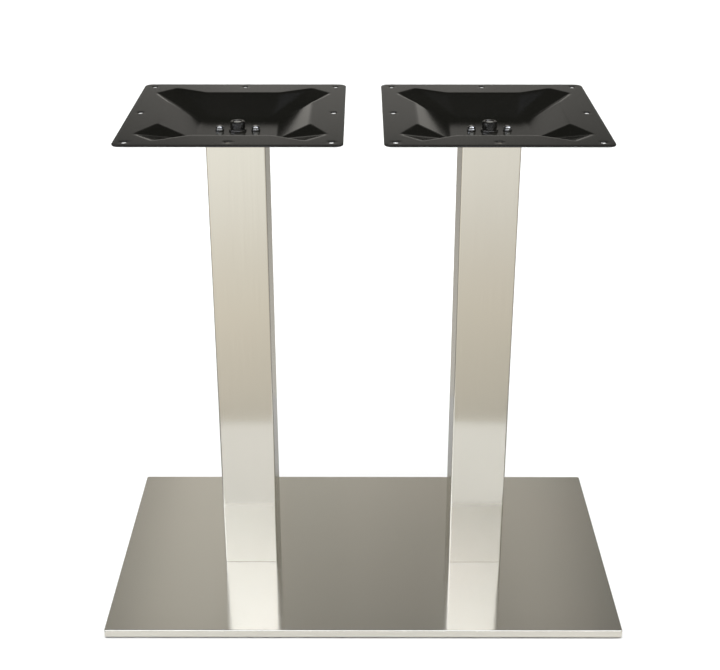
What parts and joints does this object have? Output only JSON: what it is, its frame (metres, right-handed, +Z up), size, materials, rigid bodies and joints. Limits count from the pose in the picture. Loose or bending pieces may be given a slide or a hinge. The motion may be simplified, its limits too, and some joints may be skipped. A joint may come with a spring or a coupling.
{
  "type": "twin column table base",
  "caption": "Table base with a rectangular folded steel foot, two square columns and two square pressed mounting plates with dished centres and screw holes.",
  "frame": {"origin": "on the floor under the middle of the base", "axes": "+Z up, +X along the long side of the base from the left column to the right one, +Y to the back"},
  "size_m": [0.74, 0.4, 0.72],
  "materials": {
    "brushed_stainless": "brushed",
    "black_powder_coat": "fine satin powder coat",
    "painted_steel": "matt black paint",
    "raw_steel": "mill finish",
    "zinc_plated_steel": "bright zinc plate",
    "dark_fastener_steel": "blackened steel",
    "black_nylon": "moulded"
  },
  "bodies": {
    "frame": {"base_cover": "brushed_stainless", "base_weight_plate": "painted_steel", "column_tube_left": "brushed_stainless", "column_lower_end_plate_left": "raw_steel", "column_upper_end_plate_left": "raw_steel", "tie_rod_left": "zinc_plated_steel", "tie_rod_lower_washer_left": "zinc_plated_steel", "tie_rod_lower_nut_left": "zinc_plated_steel", "tie_rod_upper_washer_left": "dark_fastener_steel", "tie_rod_upper_nut_left": "dark_fastener_steel", "column_foot_screws_left": "dark_fastener_steel", "top_plate_left": "black_powder_coat", "top_plate_bolts_left": "zinc_plated_steel", "top_plate_bolt_washers_left": "dark_fastener_steel", "top_plate_spring_washers_left": "zinc_plated_steel", "column_tube_right": "brushed_stainless", "column_lower_end_plate_right": "raw_steel", "column_upper_end_plate_right": "raw_steel", "tie_rod_right": "zinc_plated_steel", "tie_rod_lower_washer_right": "zinc_plated_steel", "tie_rod_lower_nut_right": "zinc_plated_steel", "tie_rod_upper_washer_right": "dark_fastener_steel", "tie_rod_upper_nut_right": "dark_fastener_steel", "column_foot_screws_right": "dark_fastener_steel", "top_plate_right": "black_powder_coat", "top_plate_bolts_right": "zinc_plated_steel", "top_plate_bolt_washers_right": "dark_fastener_steel", "top_plate_spring_washers_right": "zinc_plated_steel"},
    "pad_front_left": {"foot_pad_front_left": "black_nylon"},
    "stud_front_left": {"foot_stud_front_left": "zinc_plated_steel"},
    "pad_front_right": {"foot_pad_front_right": "black_nylon"},
    "stud_front_right": {"foot_stud_front_right": "zinc_plated_steel"},
    "pad_back_left": {"foot_pad_back_left": "black_nylon"},
    "stud_back_left": {"foot_stud_back_left": "zinc_plated_steel"},
    "pad_back_right": {"foot_pad_back_right": "black_nylon"},
    "stud_back_right": {"foot_stud_back_right": "zinc_plated_steel"}
  },
  "joints": [
    {"name": "foot_lift_front_left", "type": "slide", "parent": "frame", "child": "pad_front_left", "axis": [0, 0, -1], "range_m": [0, 0.004]},
    {"name": "foot_turn_front_left", "type": "hinge", "parent": "pad_front_left", "child": "stud_front_left", "pos_m": [-0.325, -0.155, 0.0028], "axis": [0, 0, -1], "range_deg": [0, 1152]},
    {"name": "foot_lift_front_right", "type": "slide", "parent": "frame", "child": "pad_front_right", "axis": [0, 0, -1], "range_m": [0, 0.004]},
    {"name": "foot_turn_front_right", "type": "hinge", "parent": "pad_front_right", "child": "stud_front_right", "pos_m": [0.325, -0.155, 0.0028], "axis": [0, 0, -1], "range_deg": [0, 1152]},
    {"name": "foot_lift_back_left", "type": "slide", "parent": "frame", "child": "pad_back_left", "axis": [0, 0, -1], "range_m": [0, 0.004]},
    {"name": "foot_turn_back_left", "type": "hinge", "parent": "pad_back_left", "child": "stud_back_left", "pos_m": [-0.325, 0.155, 0.0028], "axis": [0, 0, -1], "range_deg": [0, 1152]},
    {"name": "foot_lift_back_right", "type": "slide", "parent": "frame", "child": "pad_back_right", "axis": [0, 0, -1], "range_m": [0, 0.004]},
    {"name": "foot_turn_back_right", "type": "hinge", "parent": "pad_back_right", "child": "stud_back_right", "pos_m": [0.325, 0.155, 0.0028], "axis": [0, 0, -1], "range_deg": [0, 1152]}
  ],
  "couplings": [
    {"joint": "foot_lift_front_left", "follows": "foot_turn_front_left", "m_per_rad": 0.00019894},
    {"joint": "foot_lift_front_right", "follows": "foot_turn_front_right", "m_per_rad": 0.00019894},
    {"joint": "foot_lift_back_left", "follows": "foot_turn_back_left", "m_per_rad": 0.00019894},
    {"joint": "foot_lift_back_right", "follows": "foot_turn_back_right", "m_per_rad": 0.00019894}
  ]
}
